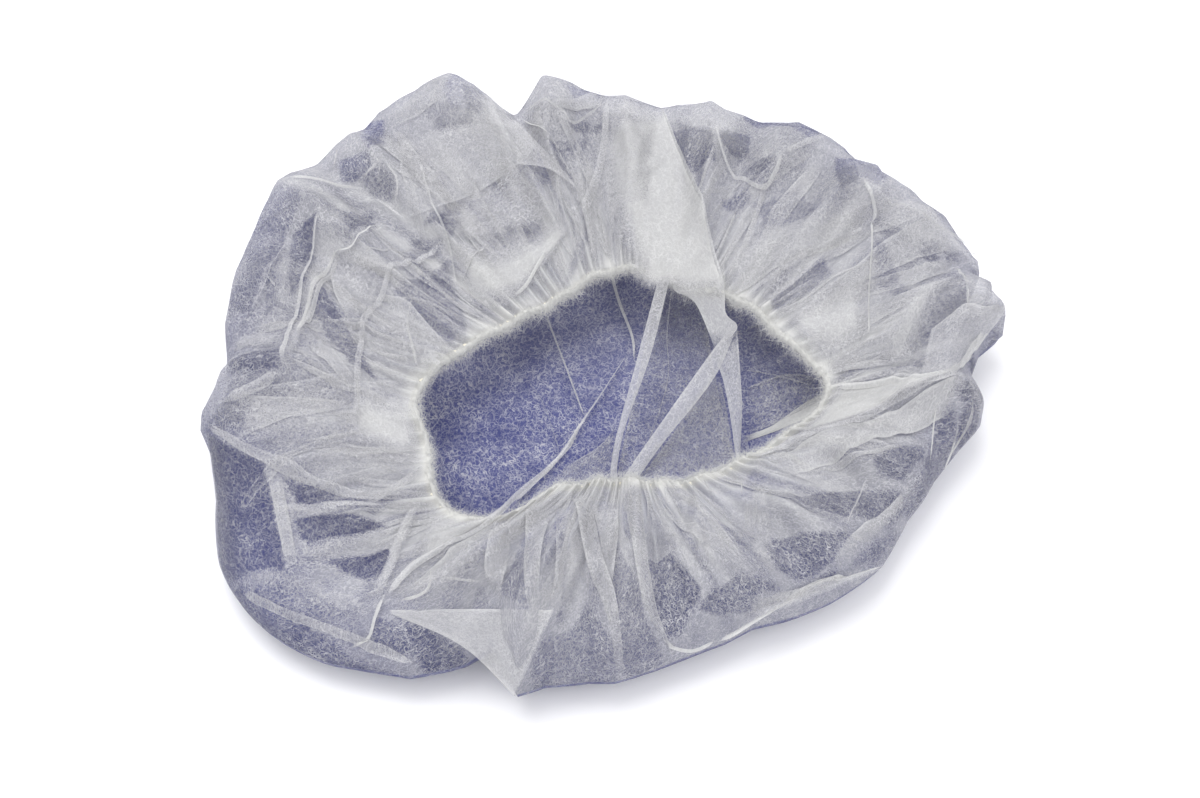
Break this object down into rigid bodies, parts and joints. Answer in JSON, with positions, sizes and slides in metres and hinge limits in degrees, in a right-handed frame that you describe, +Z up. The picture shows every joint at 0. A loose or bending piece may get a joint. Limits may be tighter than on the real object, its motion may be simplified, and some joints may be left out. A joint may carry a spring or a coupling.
{
  "type": "disposable hair cover cap",
  "caption": "Disposable bouffant hair cover cap of thin nonwoven cloth, lying crown down, its ruffle gathered by an elastic round an upturned opening.",
  "frame": {"origin": "middle of the base, on the surface that the crown lies on", "axes": "+Z up through the opening, +X to the right along the wider way, +Y to the back"},
  "size_m": [0.3322, 0.2958, 0.0603],
  "materials": {
    "nonwoven_cloth": "matte spunbond nonwoven",
    "elastic": "matte covered elastic"
  },
  "bodies": {
    "root": {"cap_cloth": "nonwoven_cloth", "elastic_ring": "elastic"}
  },
  "joints": []
}
